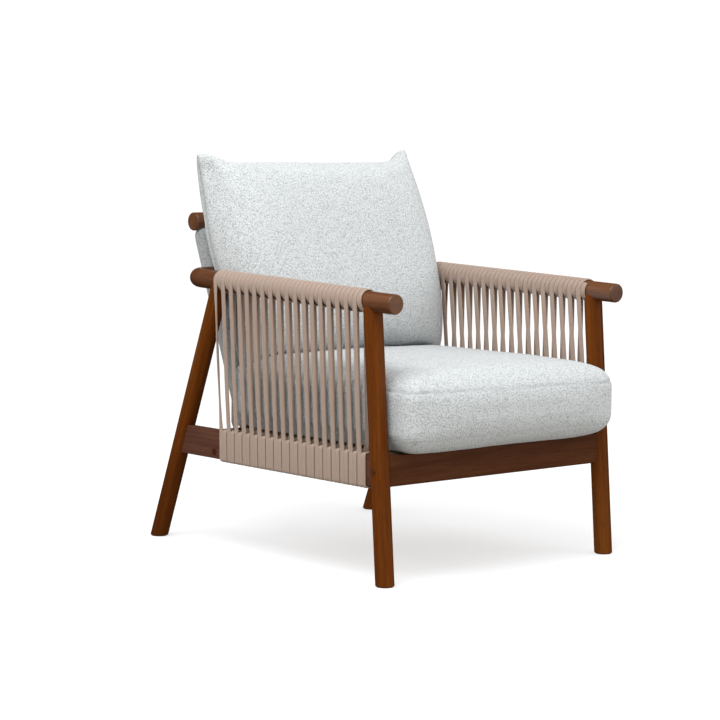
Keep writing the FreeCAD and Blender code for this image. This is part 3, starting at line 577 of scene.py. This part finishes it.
def seat_cushion():
    """The loose seat cushion: a crowned box with a border between two seams, plumped up."""
    low = SEAT_LOW + Vector((0.001, 0.002, 0.002))
    high = SEAT_HIGH - Vector((0.001, 0.002, 0.004))
    seat = rounded_box("seat_cushion_boucle", low, high, plan_radius=0.020, edge_radius=0.042, pitch=0.0125,
                       material=BOUCLE)
    centre = (low + high) / 2
    half = (high - low) / 2
    for vertex in seat.data.vertices:
        p = vertex.co
        u, v, w = ((p[a] - centre[a]) / half[a] for a in range(3))
        crown = max(0.0, (1 - abs(u) ** 2.2) * (1 - abs(v) ** 2.2))
        p.z += SEAT_CROWN * crown * smooth(-1, 1, w)
        p.y += SEAT_BULGE[1] * v * (1 - w * w) * (1 - abs(u) ** 4)
        p.x += SEAT_BULGE[0] * u * (1 - w * w) * (1 - abs(v) ** 4)
    inflate(seat, lambda i: SEAT_CAP, pressure=1.5, frames=12, stiffness=30.0, bending=8.0)
    subdivide(seat, 2)
    underside = SEAT_LOW.z + 0.0004
    for vertex in seat.data.vertices:
        p = vertex.co
        p.z += noise.noise(p * 6.0) * 0.0024 + noise.noise(p * 17.0) * 0.0008
        p.z = max(p.z, underside - 0.004 * smooth(*APRON_Y, p.y))
        p.x = max(SEAT_LOW.x + 0.0005, min(SEAT_HIGH.x - 0.0005, p.x))
        p.y = max(SEAT_LOW.y - 0.006, min(SEAT_HIGH.y, p.y))

    def depth(p):
        if min(p.x - SEAT_LOW.x, SEAT_HIGH.x - p.x, p.y - SEAT_LOW.y, SEAT_HIGH.y - p.y) > BORDER:
            return 0.0
        upper, lower = (max(0.0, 1 - abs(p.z - height) / SEAM_HALF) for height in seam_heights(p.x))
        return max(upper, 0.4 * lower)

    normals = [v.normal.copy() for v in seat.data.vertices]
    for vertex, normal in zip(seat.data.vertices, normals):
        vertex.co -= normal * SEAM_GROOVE * smooth(0, 1, depth(vertex.co))
    # the seat's seam lines get painted shade in their grooves, a little uneven along them
    set_seam_shade(seat, lambda p: (0.42 + 0.3 * noise.noise(p * 40.0)) * depth(p))
    return seat


seat = seat_cushion()
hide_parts("seat_cushion")
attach(seat, "seat")


# ------------------------------------------------------------------ back cushion
PILLOW_GRID = (66, 50)
PILLOW_FOOT = Vector((0, 0.128, 0.430))  # where the pillow's leaning plane starts, just above its lower edge
PILLOW_LEAN = math.radians(19.3)
PILLOW_HALF = 0.3000                 # half its width at the bottom
PILLOW_TOP = 0.465                   # how far up the slope its upper edge lies
FULLNESS = (0.077, -0.070)           # how far the front and rear sheets stand from the seam's plane
EAR_LEFT = (0.007, 0.017, 0.003)     # how far an upper corner is drawn out and up, and how much it is blunted
EAR_RIGHT = (0.004, 0.030, 0.007)
PILLOW_CAPS = (0.003, 0.014)         # how far the cloth may move at the seam and elsewhere
WOOD_GAP = 0.002                     # left between the pillow and bare wood
CORD_GAP = 0.0035                    # left between the pillow and the middle of the cord
CORD_END_Y = 0.19                    # behind this the arm has no cord on it
PILLOW_LIMIT = 0.335                 # half the width that the pillow may have above the arms
PAST_SEAT = 0.40                     # how low the pillow may hang behind the seat cushion


def leaning(angle):
    """The ways up the slope and forward out of it, for a plane that leans back."""
    return (Vector((0, math.sin(angle), math.cos(angle))),
            Vector((0, -math.cos(angle), math.sin(angle))))


def seat_top(tree, x, y):
    """Height of the seat cushion's top under a point, or a lower height past its rear edge."""
    hit = tree.ray_cast(Vector((x, y, 1.0)), Vector((0, 0, -1)))[0]
    return hit.z if hit else PAST_SEAT


def side_limit(y, z):
    """How far from the middle the pillow can reach between the arms and the cord's inner strands."""
    centre = arm_height(y)
    rise = z - centre
    reach = CORD_ARM + CORD_GAP if y < CORD_END_Y else ARM_RADIUS + WOOD_GAP
    if abs(rise) < reach:
        return LEG_X - math.sqrt(reach * reach - rise * rise)
    if rise > 0:
        return PILLOW_LIMIT
    share = min(1.0, (centre - z) / (centre - RAIL_Z))
    return LEG_X - (CORD_ARM + (CORD_RAIL - CORD_ARM) * share) - CORD_GAP


def pillow_point(u, v, layer):
    """A point of the pillow's front (layer 1) or rear (-1) sheet, or of its seam (0), as across, up the slope
    and forward. u and v run from -1 to 1 across and up."""
    out, rise, cut = EAR_LEFT if u < 0 else EAR_RIGHT
    ear = smooth(0.62, 1.0, abs(u)) ** 1.5
    blunt = cut * smooth(0.90, 1.0, abs(u)) * smooth(0.88, 1.0, abs(v))
    reach = PILLOW_HALF + 0.0190 * smooth(-0.8, 0.35, v) + out * smooth(0.8, 1.0, v) - blunt
    top = PILLOW_TOP + rise * ear - blunt
    base = -0.022 + 0.010 * (1 - ear)
    # lower down, the seam lies further back and the sides are squarer
    set_back = 0.0265 * (1 - smooth(-0.1, 1.15, v)) - 0.006 * smooth(0.8, 1.0, v)
    boxy = 4.2 + 3.0 * (1 - smooth(-0.1, 0.8, v))
    full = max(0.0, (1 - abs(u) ** boxy) * (1 - abs(v) ** 3.4)) ** 0.5
    face = {1: FULLNESS[0], -1: FULLNESS[1], 0: -set_back}[layer]
    return Vector((u * reach, base + (v + 1) / 2 * (top - base), (face + set_back) * full - set_back))


def pillow():
    """Two sheets sewn together all round, plumped up, then fitted between the arms and on to the seat."""
    columns, rows = PILLOW_GRID
    index = {}
    verts = []
    faces = []

    def vertex(i, j, layer):
        edge = i in (0, columns) or j in (0, rows)
        key = (i, j, 0 if edge else layer)
        if key not in index:
            index[key] = len(verts)
            verts.append(pillow_point(i / columns * 2 - 1, j / rows * 2 - 1, key[2]))
        return index[key]

    for i in range(columns):
        for j in range(rows):
            for layer in (1, -1):
                ring = [vertex(i, j, layer), vertex(i + 1, j, layer), vertex(i + 1, j + 1, layer),
                        vertex(i, j + 1, layer)]
                faces.append(tuple(ring if layer > 0 else reversed(ring)))
    cushion = new_object("back_cushion_boucle", verts, faces, BOUCLE)
    edge_points = {index[key] for key in index if key[2] == 0}
    inflate(cushion, lambda i: PILLOW_CAPS[i not in edge_points], pressure=2.5, frames=16, stiffness=16.0,
            bending=0.35, shrink=-0.01)
    edge = cushion.data.attributes.new("seam", "FLOAT", "POINT")
    for point in edge_points:
        edge.data[point].value = 1.0
    subdivide(cushion, 2)
    edge = cushion.data.attributes["seam"]
    normals = [v.normal.copy() for v in cushion.data.vertices]
    for v, normal, mark in zip(cushion.data.vertices, normals, edge.data):
        near = max(0.0, (mark.value - 0.7) / 0.3)
        v.co -= normal * SEAM_GROOVE * near
        v.co += normal * noise.noise(v.co * 14.0) * 0.0012
        # the pillow's seam mark now weighs the painted shade in its groove
        mark.value = 0.6 * near
    tree = BVHTree.FromObject(seat, bpy.context.evaluated_depsgraph_get())
    cross_low, cross_high = (Vector(c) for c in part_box("arm_back_rail"))
    cross = (cross_low + cross_high) / 2
    clear = ARM_RADIUS + WOOD_GAP
    up, forward = leaning(PILLOW_LEAN)
    for v in cushion.data.vertices:
        p = PILLOW_FOOT + Vector((v.co.x, 0, 0)) + up * v.co.y + forward * v.co.z
        limit = side_limit(p.y, p.z)
        p.x = max(-limit, min(limit, p.x))
        rise = p.z - cross.z
        if abs(rise) < clear:
            p.y = min(p.y, cross.y - math.sqrt(clear ** 2 - rise ** 2))
        p.z = max(p.z, seat_top(tree, p.x, p.y) + 0.001)
        v.co = p
    return cushion


back = pillow()
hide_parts("back_cushion")
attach(back, "back")


# ------------------------------------------------------------------ upholstered back panel
PANEL_RUN = (0.031, 0.509)           # its lower and upper edge, up the slope from BACK_FOOT
PANEL_DEPTH = (-0.028, 0.020)        # its rear and front face, from the back's middle plane
PANEL_PUFF = 0.003


def back_panel():
    """The upholstered panel between the rails, in the back's leaning plane."""
    low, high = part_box("back_panel")
    up, forward = leaning(BACK_LEAN)
    foot = Vector((0, *BACK_FOOT))
    # its cloth is the darker bouclé: painted shade
    panel = rounded_box("back_panel_boucle", Vector((low[0], PANEL_RUN[0], PANEL_DEPTH[0])),
                        Vector((high[0], PANEL_RUN[1], PANEL_DEPTH[1])), plan_radius=0.014, edge_radius=0.016,
                        pitch=0.008, material=BACK_BOUCLE_PAINTED_SHADE)
    middle = sum(PANEL_RUN) / 2
    for v in panel.data.vertices:
        u = v.co.x / high[0]
        s = (v.co.y - middle) / (PANEL_RUN[1] - middle)
        puff = PANEL_PUFF * max(0.0, 1 - abs(u) ** 3) * max(0.0, 1 - abs(s) ** 3)
        v.co = foot + Vector((v.co.x, 0, 0)) + up * v.co.y + forward * (v.co.z + math.copysign(puff, v.co.z))
    subdivide(panel, 1)
    return panel


panel = back_panel()
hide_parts("back_panel")
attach(panel, "frame")


# ------------------------------------------------------------------ stage, light and camera
scene = bpy.context.scene
scene.view_settings.view_transform = "Standard"
FLOOR_REACH = 900  # so far that its edge lies on the horizon
# height (0 straight down, 0.5 level, 1 straight up), brightness and warmth
SKY = ((0.0, 0.53, 0.14), (0.48, 0.64, 0.10), (0.49, 1.40, 0), (0.58, 1.40, 0), (0.68, 1.17, 0))


def floor():
    """A pale floor that gives off a little light, but none on to the chair."""
    g = Graph("pale_floor", Base_Color=(0.43, 0.43, 0.437, 1), Roughness=0.9, Emission_Strength=0.545,
              Emission_Color=(1, 1, 1, 1), Specular_IOR_Level=0.0)
    corners = [(x * FLOOR_REACH, y * FLOOR_REACH, 0) for x, y in ((-1, -1), (1, -1), (1, 1), (-1, 1))]
    made = new_object("floor", corners, [(0, 1, 2, 3)], g.material)
    made.visible_diffuse = False
    made.visible_glossy = False
    return made


def studio_sky():
    """Bright from the horizon up, softer overhead and dimmer below, with no reflection of itself in gloss."""
    world = bpy.data.worlds.new("studio")
    scene.world = world
    world.use_nodes = True
    nodes = world.node_tree.nodes
    links = world.node_tree.links
    place = nodes.new("ShaderNodeTexCoord")
    split = nodes.new("ShaderNodeSeparateXYZ")
    shade = nodes.new("ShaderNodeValToRGB")
    shift = nodes.new("ShaderNodeMath")
    shift.operation = "MULTIPLY_ADD"
    shift.inputs[1].default_value = 0.5
    shift.inputs[2].default_value = 0.5
    links.new(place.outputs["Generated"], split.inputs[0])
    links.new(split.outputs["Z"], shift.inputs[0])
    links.new(shift.outputs[0], shade.inputs[0])
    links.new(shade.outputs[0], nodes["Background"].inputs["Color"])
    elements = shade.color_ramp.elements
    while len(elements) < len(SKY):
        elements.new(0.5)
    for element, (position, value, warmth) in zip(elements, SKY):
        element.position = position
        element.color = (value, value * (1 - 0.4 * warmth), value * (1 - warmth), 1)
    nodes["Background"].inputs["Strength"].default_value = 1.0
    world.cycles_visibility.glossy = False


def area_light(name, place, aim, size, power, colour=(1, 1, 1)):
    data = bpy.data.lights.new(name, "AREA")
    data.energy = power
    data.color = colour
    data.shape = "DISK"
    data.size = size
    made = bpy.data.objects.new(name, data)
    made.location = place
    made.rotation_euler = (Vector(aim) - Vector(place)).to_track_quat("-Z", "Y").to_euler()
    scene.collection.objects.link(made)


floor()
studio_sky()
area_light("key", (-1.7, -1.0, 3.2), aim=(0, 0, 0.4), size=1.8, power=80, colour=(0.97, 0.99, 1.0))
area_light("fill", (2.6, -3.4, 1.3), aim=(0, -0.3, 0.35), size=2.0, power=24)

CAMERA_PLACE = (-3.43893, -3.98112, 0.91669)
CAMERA_TURN, CAMERA_DOWN, CAMERA_ROLL = (math.radians(a) for a in (-40.24, 5.382, 0.4407))
camera_data = bpy.data.cameras.new("camera")
camera_data.sensor_width = 36.0
camera_data.lens = 117.3
camera = bpy.data.objects.new("camera", camera_data)
camera.matrix_world = (Matrix.Translation(CAMERA_PLACE) @ Matrix.Rotation(CAMERA_TURN, 4, "Z")
                       @ Matrix.Rotation(QUARTER - CAMERA_DOWN, 4, "X") @ Matrix.Rotation(CAMERA_ROLL, 4, "Z"))
scene.collection.objects.link(camera)
scene.camera = camera
